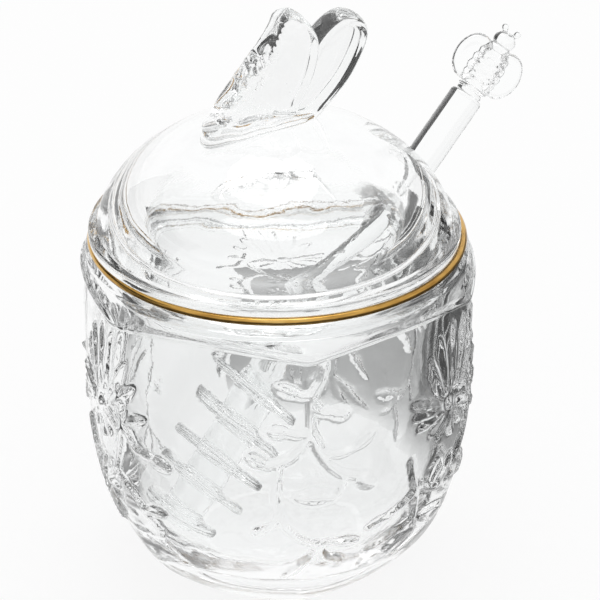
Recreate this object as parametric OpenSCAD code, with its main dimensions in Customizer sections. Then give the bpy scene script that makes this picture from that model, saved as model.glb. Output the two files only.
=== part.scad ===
// Honey pot: a six-panelled pressed glass jar, a loose domed lid with a butterfly knob,
// and a glass honey dipper with a bee on its end, which leans out through the lid's notch.
// The origin is on the jar's axis at its flat base. +Z is up, and +X points to the notch.

/* [Jar] */
// Height of the jar to the top of its lip
jar_h = 90.3; // [88:0.1:92]
// Radius at the middle of a panel, where the jar is widest
panel_r = 47.2; // [46.8:0.1:48]
// Height of the widest place
waist_z = 66; // [62:1:68]
// Height from the widest place down to where the panel curve would close
panel_drop = 70.3; // [69:0.1:72]
// Fullness of the panel curve, where 2 is an ellipse
panel_power = 2.75; // [2.5:0.05:3]
// Extra radius of each panel's own arc, which leaves a soft edge between panels
panel_bulge = 18.2; // [14:0.1:24]
// Angle from the notch to the nearest edge between two panels
panel_turn = 2.5; // [0:0.5:6]
// Radius of the hollow
bore_r = 42.2; // [41.5:0.1:42.4]
// Thickness of the glass under the hollow
bottom_t = 8; // [6:0.5:10]
// Fullness of the curve at the bottom of the hollow
bore_power = 3.5; // [3:0.1:4]

/* [Collar and lip] */
// Radius at which the arches of the bead meet
bead_r = 49; // [48.8:0.1:49.4]
// Amount by which the bead stands out from the panels
bead_lift = 0.6; // [0.4:0.1:0.8]
// Height of the arched bead's face
bead_h = 1.6; // [1.2:0.1:2]
// Height of the bead's lower edge at the middle of a panel
arch_top_z = 82.3; // [82:0.1:83]
// Radius of each arch of the bead
arch_r = 119.4; // [100:0.1:140]
// Outer radius of the lip
lip_out_r = 46; // [45.8:0.1:46.2]
// Radius of the lip's round section
lip_r = 1.1; // [1:0.05:1.2]
// Thickness of the gold on the lip
gold_t = 0.25; // [0.2:0.05:0.3]

/* [Lid] */
// Outer radius of the dome
dome_r = 43.8; // [43.4:0.1:44.2]
// Height of the dome's curve
dome_rise = 31; // [29:0.1:31]
// Fullness of the dome's curve, where 2 is an ellipse
dome_power = 1.9; // [1.8:0.05:2.1]
// Radius of the flange that rests on the jar's lip
flange_r = 45.1; // [44.8:0.1:45.4]
// Height of the flange
flange_h = 2.2; // [1.8:0.1:2.6]
// Radius of the hollow under the dome
hollow_r = 31; // [30:0.5:33]
// Height from the lid's edge to the top of the hollow
hollow_h = 15.1; // [13:0.1:17]
// Outer radius of the ring that keeps the lid centred
ring_r = 41.3; // [41:0.1:41.5]
// Inner radius of that ring
ring_in_r = 32; // [32:0.5:36]
// Height of that ring below the lid's edge
ring_h = 8.5; // [6:0.5:9]
// Distance by which the loose lid lies to one side
lid_shift = 0.6; // [0:0.1:0.8]
// Width of the notch for the dipper
notch_w = 13; // [12:0.5:14]
// Height of the notch above the lid's edge
notch_h = 11.2; // [11:0.1:12]

/* [Butterfly knob] */
// Angle of the butterfly's line of flight from the notch
butterfly_turn = -11.5; // [-20:0.5:20]
// Length of the foot under the butterfly
foot_l = 27; // [25:0.5:28]
// Width of the foot
foot_w = 11; // [10:0.5:13]
// Thickness of each wing
wing_t = 4; // [3.5:0.1:4.5]
// Lean of each wing from upright
wing_splay = 1.5; // [1:0.5:4]

/* [Dipper] */
// Lean of the dipper from upright
dipper_lean = 45; // [44.5:0.1:45.2]
// Diameter of the rod
rod_d = 8.6; // [8:0.1:8.8]
// Length of rod above the place where it rests on the lip
rod_up = 19.5; // [18:0.5:22]
// Distance from that place down to the middle of the first disc
first_disc = 70.4; // [70:0.1:70.6]
// Distance from disc to disc
disc_pitch = 8.85; // [8.8:0.05:8.9]
// Thickness of each disc
disc_t = 2.8; // [2.4:0.1:3]
// Diameter of the core that carries the discs
core_d = 10.4; // [9:0.1:11]

/* [Bee] */
// Length of the bee's body
bee_l = 15.5; // [15:0.5:17]
// Radius of the bee's body where it is thickest
bee_r = 4.6; // [4.4:0.1:5]
// Length of each wing of the bee
bee_wing_l = 12.4; // [11:0.2:13]
// Width of each wing of the bee
bee_wing_w = 8.9; // [8.5:0.1:9.5]
// Thickness of each wing of the bee
bee_wing_t = 3.6; // [3:0.2:4]
// Angle of the bee's wings about the rod
bee_roll = -45; // [-90:5:90]

/* [Hidden] */

// Smoothness of round surfaces
$fn = 96;
// Number of panels round the jar
panels = 6;
// Number of steps in a curved profile
profile_steps = 12;
// Air between the lid and what it sits in
seat_gap = 0.05;
// Air between the rod and the lip
rest_gap = 0.06;
// Overlap that fuses two solids
fuse = 0.2;

// Middle of the lip's round section
lip_mid_r = lip_out_r - lip_r;
lip_z = jar_h - lip_r;
// Ledge inside the lip
ledge_z = lip_z - lip_r - 0.1;
ledge_out_r = lip_out_r - 2 * lip_r;
// Place above the bead where the collar is round
collar_mid_r = 46.6;
collar_mid_z = arch_top_z + bead_h + 1.2;
// Flat top of the collar, which carries the round lip
collar_top_r = lip_out_r - 0.1;
collar_top_z = lip_z - lip_r / 2;
// Columns of points round the jar, and steps across the bead
jar_columns = 60;
bead_steps = 4;

// Bottom edge of the lid, and start of the dome's curve
lid_z = jar_h + seat_gap;
dome_z = 89;
// Underside of the lid inside its ring, and start of the hollow's curve
underside_z = lid_z - 1;
hollow_z = lid_z + 1.6;
// Fullness of the hollow's curve
hollow_power = 2.2;
// Direction in which the loose lid lies to one side
shift_turn = 144;

// Place where the rod's axis passes over the lip
rest_x = lip_mid_r;
rest_z = lip_z + (lip_r + rod_d / 2 + rest_gap) / sin(dipper_lean);
disc_r = [13.5, 14.5, 14.5, 13.5, 11];
last_disc = first_disc + (len(disc_r) - 1) * disc_pitch;
core_tip = 4;

// Places on the butterfly, as distance along its line of flight and height
head_at = [-15.5, 120.8];
thorax_at = [-8, 121.8];
tail_at = [7, 121.6];
// Height at which the wings part
wing_root_z = 120;
// Corners of the wings, which a smooth closed curve follows
forewing_pts = [[-15.5, 120.8], [-15.2, 126], [-9, 133.4], [-2.2, 142], [0.8, 146.6],
                [4.6, 147.3], [8.6, 143.6], [10.6, 138.6], [9.4, 131], [6, 124], [3.6, 120.6], [-6, 120.9]];
hindwing_pts = [[1, 119.4], [4, 128], [8.4, 137.6], [12.6, 142.6], [17.6, 144.8],
                [22, 142.8], [23.6, 138], [19.6, 129], [13.4, 121.8], [8.8, 118.4]];
// Steps of the curve between two corners
curve_steps = 4;
// Amount by which the hindwing's faces lie below the forewing's
wing_step = 0.6;

// The bee's body is a row of round-edged rings, of which each covers part of the next
bee_rings = 7;
ring_step = 0.86;
// Loss of radius from ring to ring, times the square of the ring's number from the middle
bee_taper = 0.13;
bee_ring_t = bee_l / (1 + (bee_rings - 1) * ring_step);
// Middle of the bee's body, its head and its feelers, measured along the rod.
// The body starts a little below the rod's end, where the two are melted together.
bee_melt = 1.2;
bee_mid = rod_up - bee_melt + bee_l / 2;
bee_head_size = [5.9, 5, 4.8];
bee_head_at = bee_mid + bee_l / 2 + 1.5;
// Air between the two wings at the bee's middle, their place along the body, and the
// distance by which they stand out from its middle towards its back
bee_wing_gap = 0.1;
bee_wing_at = bee_mid + 1.4;
bee_wing_out = 3;
// The feelers spread from two places on the head, and end in a bead
feeler_from = [0.75, 1.3];
feeler_spread = 30;
feeler_l = 2.1;
feeler_ball_r = 0.9;
feeler_r = 0.6;

glass_tint = [0.86, 0.90, 0.91, 0.45];
gold_tint = [0.74, 0.56, 0.24];

// Radius of a panel's middle at height z
function panel_radius(z) =
    panel_r * pow(1 - pow(abs(waist_z - z) / panel_drop, panel_power), 1 / panel_power);

// Radius of the hollow at height z, below the widest place
function bore_radius(z) =
    bore_r * pow(1 - pow(min(1, (waist_z - z) / (waist_z - bottom_t)), bore_power), 1 / bore_power);

// Point on a smooth curve between b and c, where a and d are the corners next to them
function curve_point(a, b, c, d, t) =
    0.5 * (2 * b + (c - a) * t + (2 * a - 5 * b + 4 * c - d) * t * t
           + (3 * b - a - 3 * c + d) * t * t * t);

// Closed smooth curve through a list of corners
function smooth_outline(pts) =
    [for (i = [0 : len(pts) - 1], s = [0 : curve_steps - 1])
        curve_point(pts[(i + len(pts) - 1) % len(pts)], pts[i], pts[(i + 1) % len(pts)],
                    pts[(i + 2) % len(pts)], s / curve_steps)];

// Height of the bead's lower edge at angle a from the middle of a panel
function arch_z(a) = arch_top_z - arch_r + sqrt(pow(arch_r, 2) - pow(bead_r * sin(a), 2));

// Radius of the panels at angle a from the middle of one and at height z.
// Each panel is an arc about its own axis, which is set back from the jar's.
function panel_wall(a, z) =
    sqrt(pow(panel_radius(z) + panel_bulge, 2) - pow(panel_bulge * sin(a), 2))
    - panel_bulge * cos(a);

// Part of the way t from the panel's top edge, across the bead, to the collar
function bead_point(a, t) =
    [panel_wall(a, arch_z(a)) + bead_lift * sin(180 * t), arch_z(a) + bead_h * t];

// Outside of the jar at angle a from the middle of a panel, as [radius, height] from the base up
function jar_profile(a) = concat(
    [for (i = [0 : profile_steps])
        let (z = arch_z(a) * (1 - cos(90 * i / profile_steps)))
        [panel_wall(a, z), z]],
    [for (i = [1 : bead_steps]) bead_point(a, i / bead_steps)],
    [[collar_mid_r, collar_mid_z], [collar_top_r, collar_top_z]]);

// Solid with the jar's outside, a flat base and a flat top
module jar_outside() {
    rows = len(jar_profile(0));
    angles = [for (i = [0 : jar_columns - 1]) i * 360 / jar_columns];
    // A column lies on each middle and each edge of a panel
    points = [for (a = angles) for (p = jar_profile(a % (360 / panels) - 180 / panels))
                 [p.x * cos(a + panel_turn), p.x * sin(a + panel_turn), p.y]];
    sides = [for (i = [0 : jar_columns - 1], j = [0 : rows - 2], half = [0, 1])
                let (here = i * rows + j, next = ((i + 1) % jar_columns) * rows + j)
                half == 0 ? [here, here + 1, next] : [next, here + 1, next + 1]];
    base = [for (i = [0 : jar_columns - 1]) i * rows];
    top = [for (i = [jar_columns - 1 : -1 : 0]) i * rows + rows - 1];
    polyhedron(points, concat(sides, [base, top]));
}

module jar_bowl() color(glass_tint) difference() {
    union() {
        jar_outside();
        rotate_extrude() translate([lip_mid_r, lip_z]) circle(r = lip_r - gold_t, $fn = 32);
    }
    // Hollow, which is straight above the widest place
    rotate_extrude()
        polygon(concat([for (i = [0 : profile_steps])
                           let (z = bottom_t + (waist_z - bottom_t) * (1 - cos(90 * i / profile_steps)))
                           [bore_radius(z), z]],
                       [[bore_r, jar_h], [0, jar_h]]));
    translate([0, 0, ledge_z]) cylinder(r = ledge_out_r, h = jar_h);
}

// Fired gold over the round lip
module rim_gilding() color(gold_tint) intersection() {
    rotate_extrude() translate([lip_mid_r, lip_z]) difference() {
        circle(r = lip_r, $fn = 32);
        circle(r = lip_r - gold_t, $fn = 32);
    }
    translate([0, 0, collar_top_z]) cylinder(r = lip_out_r + 1, h = 2 * lip_r);
}

// Half profile of a dome of radius r that starts at height z, with its height and fullness
function dome_curve(r, z, rise, power) =
    [for (i = [0 : profile_steps])
        [r * pow(cos(90 * i / profile_steps), 2 / power),
         z + rise * pow(sin(90 * i / profile_steps), 2 / power)]];

// Puts a solid drawn about the Z axis where the loose lid lies
module on_seat() {
    translate(lid_shift * [cos(shift_turn), sin(shift_turn), 0]) children();
}

module lid_dome() color(glass_tint) on_seat() difference() {
    union() {
        rotate_extrude() intersection() {
            polygon(concat([[0, dome_z]], dome_curve(dome_r, dome_z, dome_rise, dome_power)));
            translate([0, lid_z]) square([dome_r, dome_rise]);
        }
        translate([0, 0, lid_z]) cylinder(r = flange_r, h = flange_h);
        translate([0, 0, lid_z - ring_h]) cylinder(r = ring_r, h = ring_h + fuse);
    }
    rotate_extrude() polygon(concat([[0, underside_z - 1], [hollow_r, underside_z - 1]],
                                    dome_curve(hollow_r, hollow_z, lid_z + hollow_h - hollow_z,
                                               hollow_power)));
    translate([0, 0, lid_z - ring_h - 1]) cylinder(r = ring_in_r, h = underside_z - lid_z + ring_h + 1);
    // Notch with a round top, open downwards so that the lid lifts past the dipper
    translate([0, 0, lid_z + notch_h - notch_w / 2]) {
        rotate([0, 90, 0]) cylinder(d = notch_w, h = flange_r + 1);
        translate([0, -notch_w / 2, -ring_h - notch_h])
            cube([flange_r + 1, notch_w, ring_h + notch_h]);
    }
}

// Puts a solid drawn along the butterfly's line of flight in its place on the lid
module on_lid() {
    on_seat() rotate([0, 0, butterfly_turn]) children();
}

module knob_foot() color(glass_tint) on_lid() difference() {
    hull() {
        translate([-18.5 + foot_w / 2, 0, 116.9]) scale([1, 1, 0.6]) sphere(d = foot_w, $fn = 32);
        translate([foot_l - 18.5 - foot_w / 2, 0, 118]) scale([1, 1, 0.6]) sphere(d = foot_w, $fn = 32);
    }
    // The foot ends inside the thickness of the dome
    translate([-30, -15, 105]) cube([60, 30, 11]);
}

module butterfly_body() color(glass_tint) on_lid() {
    translate([head_at.x, 0, head_at.y]) sphere(r = 3, $fn = 32);
    translate([thorax_at.x, 0, thorax_at.y]) rotate([0, 90, 0]) {
        translate([0, 0, head_at.x - thorax_at.x]) cylinder(r1 = 2.4, r2 = 3.4, h = thorax_at.x - head_at.x);
        sphere(r = 3.4, $fn = 32);
        cylinder(r1 = 3.4, r2 = 2.2, h = tail_at.x - thorax_at.x);
    }
    translate([tail_at.x, 0, thorax_at.y]) sphere(r = 2.2, $fn = 32);
}

// One wing from its outline, on side -1 (left) or 1 (right), with both faces let in by inset
module butterfly_wing(pts, side, inset) {
    on_lid() translate([0, 0, wing_root_z]) rotate([-side * wing_splay, 0, 0])
        translate([0, side * wing_t / 2, -wing_root_z])
            rotate([90, 0, 0]) linear_extrude(height = wing_t - 2 * inset, center = true)
                polygon(smooth_outline(pts));
}

module left_forewing() color(glass_tint) butterfly_wing(forewing_pts, -1, 0);
module right_forewing() color(glass_tint) butterfly_wing(forewing_pts, 1, 0);
module left_hindwing() color(glass_tint) butterfly_wing(hindwing_pts, -1, wing_step);
module right_hindwing() color(glass_tint) butterfly_wing(hindwing_pts, 1, wing_step);

// Puts a solid drawn upright about the Z axis in the dipper's leaning place,
// with its origin where the rod rests on the lip
module on_dipper() {
    translate([rest_x, 0, rest_z]) rotate([0, dipper_lean, 0]) children();
}

module dipper_rod() color(glass_tint) on_dipper()
    translate([0, 0, -first_disc + disc_t]) cylinder(d = rod_d, h = first_disc - disc_t + rod_up);

module dipper_core() color(glass_tint) on_dipper() {
    translate([0, 0, -last_disc]) cylinder(d = core_d, h = last_disc - first_disc + disc_t);
    translate([0, 0, -last_disc]) intersection() {
        sphere(d = core_d, $fn = 48);
        translate([-core_d, -core_d, -core_tip]) cube(2 * core_d);
    }
}

// Flat ring of radius r and thickness t about the Z axis, with a round edge and a hole of radius hole_r
module round_edged_ring(r, t, hole_r) {
    rotate_extrude() {
        translate([hole_r, -t / 2]) square([r - t / 2 - hole_r, t]);
        translate([r - t / 2, 0]) circle(d = t, $fn = 32);
    }
}

// Disc number i, counted from the top
module dipper_disc(i) color(glass_tint) on_dipper()
    translate([0, 0, -first_disc - i * disc_pitch]) round_edged_ring(disc_r[i], disc_t, core_d / 2);

module dipper_disc_1() dipper_disc(0);
module dipper_disc_2() dipper_disc(1);
module dipper_disc_3() dipper_disc(2);
module dipper_disc_4() dipper_disc(3);
module dipper_disc_5() dipper_disc(4);

// Striped body, whose rings shrink to both ends
module bee_body() color(glass_tint) on_dipper()
    for (i = [0 : bee_rings - 1])
        let (n = i - (bee_rings - 1) / 2)
        translate([0, 0, bee_mid + n * ring_step * bee_ring_t])
            round_edged_ring(bee_r - bee_taper * n * n, bee_ring_t, 0);

// Head that is wider than it is long
module bee_head() color(glass_tint) on_dipper() rotate([0, 0, bee_roll])
    translate([0, 0, bee_head_at]) scale(bee_head_size) sphere(d = 1, $fn = 32);

// Flat rounded wing on side -1 (left) or 1 (right)
module bee_wing(side) color(glass_tint) on_dipper() rotate([0, 0, bee_roll])
    translate([side * (bee_wing_w + bee_wing_gap) / 2, -bee_wing_out, bee_wing_at])
        scale([bee_wing_w, bee_wing_t, bee_wing_l]) sphere(d = 1, $fn = 32);

module bee_left_wing() bee_wing(-1);
module bee_right_wing() bee_wing(1);

module bee_antennae() color(glass_tint) on_dipper() rotate([0, 0, bee_roll])
    for (side = [-1, 1])
        translate([side * feeler_from.x, 0, bee_head_at + feeler_from.y])
            rotate([0, side * feeler_spread, 0]) {
                cylinder(r = feeler_r, h = feeler_l);
                translate([0, 0, feeler_l]) sphere(r = feeler_ball_r, $fn = 24);
            }

jar_bowl();
rim_gilding();
lid_dome();
knob_foot();
butterfly_body();
left_forewing();
right_forewing();
left_hindwing();
right_hindwing();
dipper_rod();
dipper_core();
dipper_disc_1();
dipper_disc_2();
dipper_disc_3();
dipper_disc_4();
dipper_disc_5();
bee_body();
bee_head();
bee_left_wing();
bee_right_wing();
bee_antennae();
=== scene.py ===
# %% [markdown]
# # A pressed glass honey pot with its lid and dipper
#
# This lesson dresses a finished CAD model. The model comes in as a fixed frame: its nodes
# say where everything is and how it moves, and each piece made here takes the place of some
# of them. All lengths in this file are in millimetres, and are turned into Blender's metres
# only when a mesh is made, because round numbers in millimetres are easier to read.

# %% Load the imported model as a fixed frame
import math

import bpy
import numpy as np
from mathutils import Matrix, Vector


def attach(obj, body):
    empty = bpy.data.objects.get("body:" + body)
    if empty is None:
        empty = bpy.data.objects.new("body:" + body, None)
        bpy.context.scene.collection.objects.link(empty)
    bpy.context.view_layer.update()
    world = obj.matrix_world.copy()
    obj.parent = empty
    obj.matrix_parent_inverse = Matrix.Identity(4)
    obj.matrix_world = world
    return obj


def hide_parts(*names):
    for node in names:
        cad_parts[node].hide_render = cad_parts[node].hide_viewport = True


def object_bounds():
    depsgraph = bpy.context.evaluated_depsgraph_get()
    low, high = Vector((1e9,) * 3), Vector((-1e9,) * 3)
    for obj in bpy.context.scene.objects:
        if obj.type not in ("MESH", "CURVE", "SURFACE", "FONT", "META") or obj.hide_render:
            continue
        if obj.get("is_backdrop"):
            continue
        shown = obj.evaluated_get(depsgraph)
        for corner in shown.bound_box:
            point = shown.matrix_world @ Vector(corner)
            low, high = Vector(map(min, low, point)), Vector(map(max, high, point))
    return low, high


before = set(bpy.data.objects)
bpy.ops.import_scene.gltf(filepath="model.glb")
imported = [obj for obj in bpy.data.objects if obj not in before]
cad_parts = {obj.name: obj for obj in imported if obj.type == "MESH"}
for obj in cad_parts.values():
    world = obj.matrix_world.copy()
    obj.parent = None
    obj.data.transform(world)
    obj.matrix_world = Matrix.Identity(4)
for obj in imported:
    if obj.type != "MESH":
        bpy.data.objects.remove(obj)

MM = 0.001
cad_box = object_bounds()

# %% [markdown]
# ## Meshes from arrays
#
# Nearly everything on this pot was turned or pressed, so its surface is a sheet of points:
# one direction runs round the piece, and the other along its section. A sheet could be
# built point by point in a loop, but numpy works out a whole sheet in one line, and it can
# bend every point at once. One helper then sews the sheet into a closed skin.

# %% Sew a sheet of points into a mesh object
def add_object(name, points, faces):
    """Puts points in millimetres and faces, as lists of point numbers, into a new smooth mesh."""
    mesh = bpy.data.meshes.new(name)
    mesh.from_pydata((np.asarray(points) * MM).tolist(), [], faces)
    mesh.polygons.foreach_set("use_smooth", np.ones(len(mesh.polygons), bool))
    mesh.update()
    obj = bpy.data.objects.new(name, mesh)
    bpy.context.scene.collection.objects.link(obj)
    return obj


def sew(name, sheet, first=None, last=None, loop_rows=False):
    """Joins point (row, column) to its neighbours (row + 1, column) and (row, column + 1).
    The last column meets the first, and so does the last row when loop_rows is set. A pole
    closes its end of the sheet with a fan of triangles."""
    rows, columns, _ = sheet.shape
    here = np.arange(rows * columns).reshape(rows, columns)
    right = np.roll(here, -1, axis=1)
    if loop_rows:
        up, up_right = np.roll(here, -1, axis=0), np.roll(right, -1, axis=0)
    else:
        here, right, up, up_right = here[:-1], right[:-1], here[1:], right[1:]
    faces = np.stack([here, right, up_right, up], axis=-1).reshape(-1, 4).tolist()
    points = [sheet.reshape(-1, 3)]
    count = rows * columns
    ring = np.arange(columns)
    if first is not None:
        points.append([first])
        faces += np.stack([np.full(columns, count), np.roll(ring, -1), ring], axis=-1).tolist()
        count += 1
    if last is not None:
        points.append([last])
        end = ring + (rows - 1) * columns
        faces += np.stack([end, np.roll(end, -1), np.full(columns, count)], axis=-1).tolist()
    return add_object(name, np.concatenate(points), faces)


def turned_sheet(radius, around, height):
    """Rows of points about the upright axis: x = radius cos, y = radius sin, z = height."""
    return np.stack([radius * np.cos(around), radius * np.sin(around),
                     height + 0 * radius * around], axis=-1)


def triangles(obj):
    """Number of triangles in a mesh: a face with n corners makes n - 2."""
    corners = np.zeros(len(obj.data.polygons), np.int32)
    obj.data.polygons.foreach_get("loop_total", corners)
    return int((corners - 2).sum())


# %% [markdown]
# ## Curves
#
# Two kinds of line are needed: sections with softly rounded corners, as fire-polished glass
# has, and smooth lines through a few design points, for stems and for wing outlines. A
# Catmull-Rom curve passes through its points, so the points can be read off the real thing.

# %% Section lines with round corners, and smooth lines through points
def round_corners(corners, steps=4):
    """Each corner is (x, y, size). A corner with a size is cut back by it on both sides, and a
    parabola p = (1-t)(1-t) a + 2t(1-t) c + t t b joins the two cuts."""
    corners = np.array(corners, float)
    t = np.linspace(0, 1, steps + 1)[:, None]
    path = [corners[:1, :2]]
    for before, corner, after in zip(corners, corners[1:], corners[2:]):
        c, size = corner[:2], corner[2]
        if size == 0:
            path.append(c[None])
            continue
        a = c + (before[:2] - c) * size / np.linalg.norm(before[:2] - c)
        b = c + (after[:2] - c) * size / np.linalg.norm(after[:2] - c)
        path.append((1 - t) ** 2 * a + 2 * t * (1 - t) * c + t ** 2 * b)
    path.append(corners[-1:, :2])
    return np.concatenate(path)


def even_steps(path, spacing):
    """Points at even distances along a path, near the spacing asked for."""
    length = np.concatenate([[0], np.cumsum(np.linalg.norm(np.diff(path, axis=0), axis=1))])
    at = np.linspace(0, length[-1], max(3, round(length[-1] / spacing) + 1))
    return np.stack([np.interp(at, length, path[:, k]) for k in range(path.shape[1])], axis=-1)


def smooth_line(points, steps=8, closed=False):
    """Catmull-Rom curve: between b and c, with neighbours a and d, it is half of
    2b + (c-a) t + (2a-5b+4c-d) t t + (3b-a-3c+d) t t t."""
    p = np.array(points, float)
    if closed:
        a, b, c, d = np.roll(p, 1, 0), p, np.roll(p, -1, 0), np.roll(p, -2, 0)
    else:
        ends = np.concatenate([[2 * p[0] - p[1]], p, [2 * p[-1] - p[-2]]])
        a, b, c, d = ends[:-3], ends[1:-2], ends[2:-1], ends[3:]
    t = (np.arange(steps) / steps)[None, :, None]
    a, b, c, d = (q[:, None] for q in (a, b, c, d))
    line = 0.5 * (2 * b + (c - a) * t + (2 * a - 5 * b + 4 * c - d) * t ** 2
                  + (3 * b - a - 3 * c + d) * t ** 3)
    line = line.reshape(-1, p.shape[1])
    return line if closed else np.concatenate([line, p[-1:]])


def smooth_step(low, high, x):
    """0 below low, 1 above high, and 3tt - 2ttt between, where t is the share of the way."""
    t = np.clip((x - low) / (high - low), 0, 1)
    return t * t * (3 - 2 * t)


# %% [markdown]
# ## Shader maths as Python expressions
#
# A material is a graph of nodes. Wiring each node by hand hides what the graph works out,
# so a small class wraps a socket and lets plus, minus, times and power add the Math nodes.
# One method makes any other kind of node.

# %% A wrapped socket and a material with nodes
class Value:
    """A socket that can stand in a Python expression."""

    def __init__(self, tree, socket):
        self.tree, self.socket = tree, socket

    def math(self, operation, a, b=0.0):
        return self.tree.node("ShaderNodeMath", dict(operation=operation), {0: a, 1: b})

    def __add__(self, other):
        return self.math("ADD", self, other)

    def __sub__(self, other):
        return self.math("SUBTRACT", self, other)

    def __rsub__(self, other):
        return self.math("SUBTRACT", other, self)

    def __mul__(self, other):
        return self.math("MULTIPLY", self, other)

    def __pow__(self, other):
        return self.math("POWER", self, other)

    __radd__, __rmul__ = __add__, __mul__


class Finish:
    """A material, and the nodes that are added to it."""

    def __init__(self, name):
        self.material = bpy.data.materials.new(name)
        self.material.use_nodes = True
        self.tree = self.material.node_tree
        self.tree.nodes.clear()

    def node(self, kind, settings=None, inputs=None, output=0):
        """Adds a node, makes its settings, fills its sockets and returns one output."""
        made = self.tree.nodes.new(kind)
        for key, value in (settings or {}).items():
            if key == "stops":
                ramp = made.color_ramp.elements
                while len(ramp) < len(value):
                    ramp.new(0.5)
                for stop, (at, colour) in zip(ramp, value):
                    stop.position, stop.color = at, (*colour, 1)
            else:
                setattr(made, key, value)
        for key, value in (inputs or {}).items():
            if isinstance(value, Value):
                self.tree.links.new(value.socket, made.inputs[key])
            else:
                made.inputs[key].default_value = value
        return Value(self, made.outputs[output])

    def place(self):
        """The point on the piece, in metres."""
        return self.node("ShaderNodeTexCoord", output="Object")

    def noise(self, per_metre, detail, stretch=(1, 1, 1)):
        """Cloudy pattern from 0 to 1 with about per_metre clouds in a metre, and as many more
        along an axis as stretch says."""
        at = self.node("ShaderNodeMapping", None, {"Vector": self.place(), "Scale": stretch})
        return self.node("ShaderNodeTexNoise", None,
                         {"Vector": at, "Scale": per_metre, "Detail": detail})

    def done(self, shader):
        """Links the shader to the material's output."""
        out = self.tree.nodes.new("ShaderNodeOutputMaterial")
        self.tree.links.new(shader.socket, out.inputs["Surface"])
        return self.material


# %% [markdown]
# ## Clear glass
#
# Pressed glass and lamp-worked glass are the same stuff with different skins. Both are
# clear, bend light by 1.5, and are polished, but a mould leaves long shallow waves, and a
# flame leaves shorter ones. A perfect surface would look like a computer's glass, so a
# little relief goes to the normal, and the polish varies a little too. Thickness does the
# rest: the meshes below are real walls with an inside and an outside.

# %% Make the two kinds of glass
def clear_glass(name, tint, wave_size, wave_depth, polish):
    """Glass with waves of about wave_size and wave_depth in mm, and a roughness near polish."""
    f = Finish(name)
    waves = f.noise(1 / (wave_size * MM), detail=1.5)
    pits = f.noise(900, detail=3)
    relief = waves + 0.06 * pits
    normal = f.node("ShaderNodeBump", None,
                    {"Strength": 1.0, "Distance": wave_depth * MM, "Height": relief})
    smears = f.noise(60, detail=3)
    rough = polish * smears ** 2
    shade = f.node("ShaderNodeMix", dict(data_type="RGBA"),
                   {"Factor": smears, "A": (*tint, 1), "B": (0.995, 0.998, 0.997, 1)},
                   output="Result")
    glass = f.node("ShaderNodeBsdfPrincipled", None,
                   {"Base Color": shade, "Roughness": rough, "IOR": 1.5,
                    "Transmission Weight": 1.0, "Normal": normal})
    return f.done(glass)


pressed_glass = clear_glass("pressed_glass", (0.975, 0.985, 0.985), 9, 0.12, 0.02)
worked_glass = clear_glass("worked_glass", (0.98, 0.988, 0.988), 5, 0.06, 0.015)
print("glass:", pressed_glass.name, worked_glass.name)

# %% [markdown]
# ## Fired gold
#
# The lip carries a film of gold, brushed on as a liquid and fired. It is a true metal, so
# its colour is the colour of its reflections. It shows brush streaks round the lip, a
# browner tone where the film is thin, and a slightly uneven polish.

# %% Make the gold
def fired_gold():
    """Metal whose colour wanders from deep brown gold to light gold along stretched clouds."""
    f = Finish("fired_gold")
    cloud = f.noise(55, detail=4)
    streak = f.noise(160, detail=2, stretch=(1, 1, 14))
    tone = 0.6 * cloud + 0.4 * streak
    colour = f.node("ShaderNodeValToRGB",
                    dict(stops=[(0.34, (0.33, 0.17, 0.035)), (0.52, (0.62, 0.37, 0.10)),
                                (0.70, (0.80, 0.56, 0.22))]),
                    {"Fac": tone})
    normal = f.node("ShaderNodeBump", None,
                    {"Strength": 1.0, "Distance": 0.03 * MM, "Height": streak})
    metal = f.node("ShaderNodeBsdfPrincipled", None,
                   {"Base Color": colour, "Metallic": 1.0, "Roughness": 0.12 + 0.16 * streak,
                    "Normal": normal})
    return f.done(metal)


gold = fired_gold()
print("gold:", gold.name)

# %% [markdown]
# ## The jar's main shape
#
# The jar has six panels that bulge both ways, under an arched bead and a plain collar. On
# the real jar a mould pressed all this at once, in one skin. A box with bevels and
# subdivisions would drift away from the measured shape, so each height and angle gets its
# radius from a formula. These are the values of the CAD model.

# %% Formulas of the jar's outside
PANELS, PANEL_TURN = 6, 2.5
WAIST_Z, PANEL_R, PANEL_DROP, PANEL_POWER, PANEL_BULGE = 66, 47.2, 70.3, 2.75, 18.2
BEAD_R, BEAD_LIFT, BEAD_H, ARCH_TOP_Z, ARCH_R = 49, 0.9, 1.6, 82.3, 119.4
COLLAR_MID_R, COLLAR_MID_Z = 46.6, 85.1
LIP_R, LIP_Z, LIP_TUBE = 44.9, 89.2, 1.1
EDGE_SOFTNESS, ARCH_SOFTNESS = 2.4, 1.6


def panel_radius(z):
    """Middle of a panel: r (1 - |waist - z| / drop to the power p) to the power 1/p."""
    share = np.clip(np.abs(WAIST_Z - z) / PANEL_DROP, 0, 0.9999)
    return PANEL_R * (1 - share ** PANEL_POWER) ** (1 / PANEL_POWER)


def panel_wall(angle, z):
    """Each panel is an arc about an axis set back by the bulge b: root((r+b)(r+b) - (b sin a)
    (b sin a)) - b cos a. The mean over a few degrees rounds the edge between two panels."""
    total = 0
    shifts = np.linspace(-EDGE_SOFTNESS, EDGE_SOFTNESS, 7)
    for shift in shifts:
        a = np.radians((angle + shift + 30) % 60 - 30)
        total = total + np.sqrt((panel_radius(z) + PANEL_BULGE) ** 2
                                - (PANEL_BULGE * np.sin(a)) ** 2) - PANEL_BULGE * np.cos(a)
    return total / len(shifts)


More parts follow.
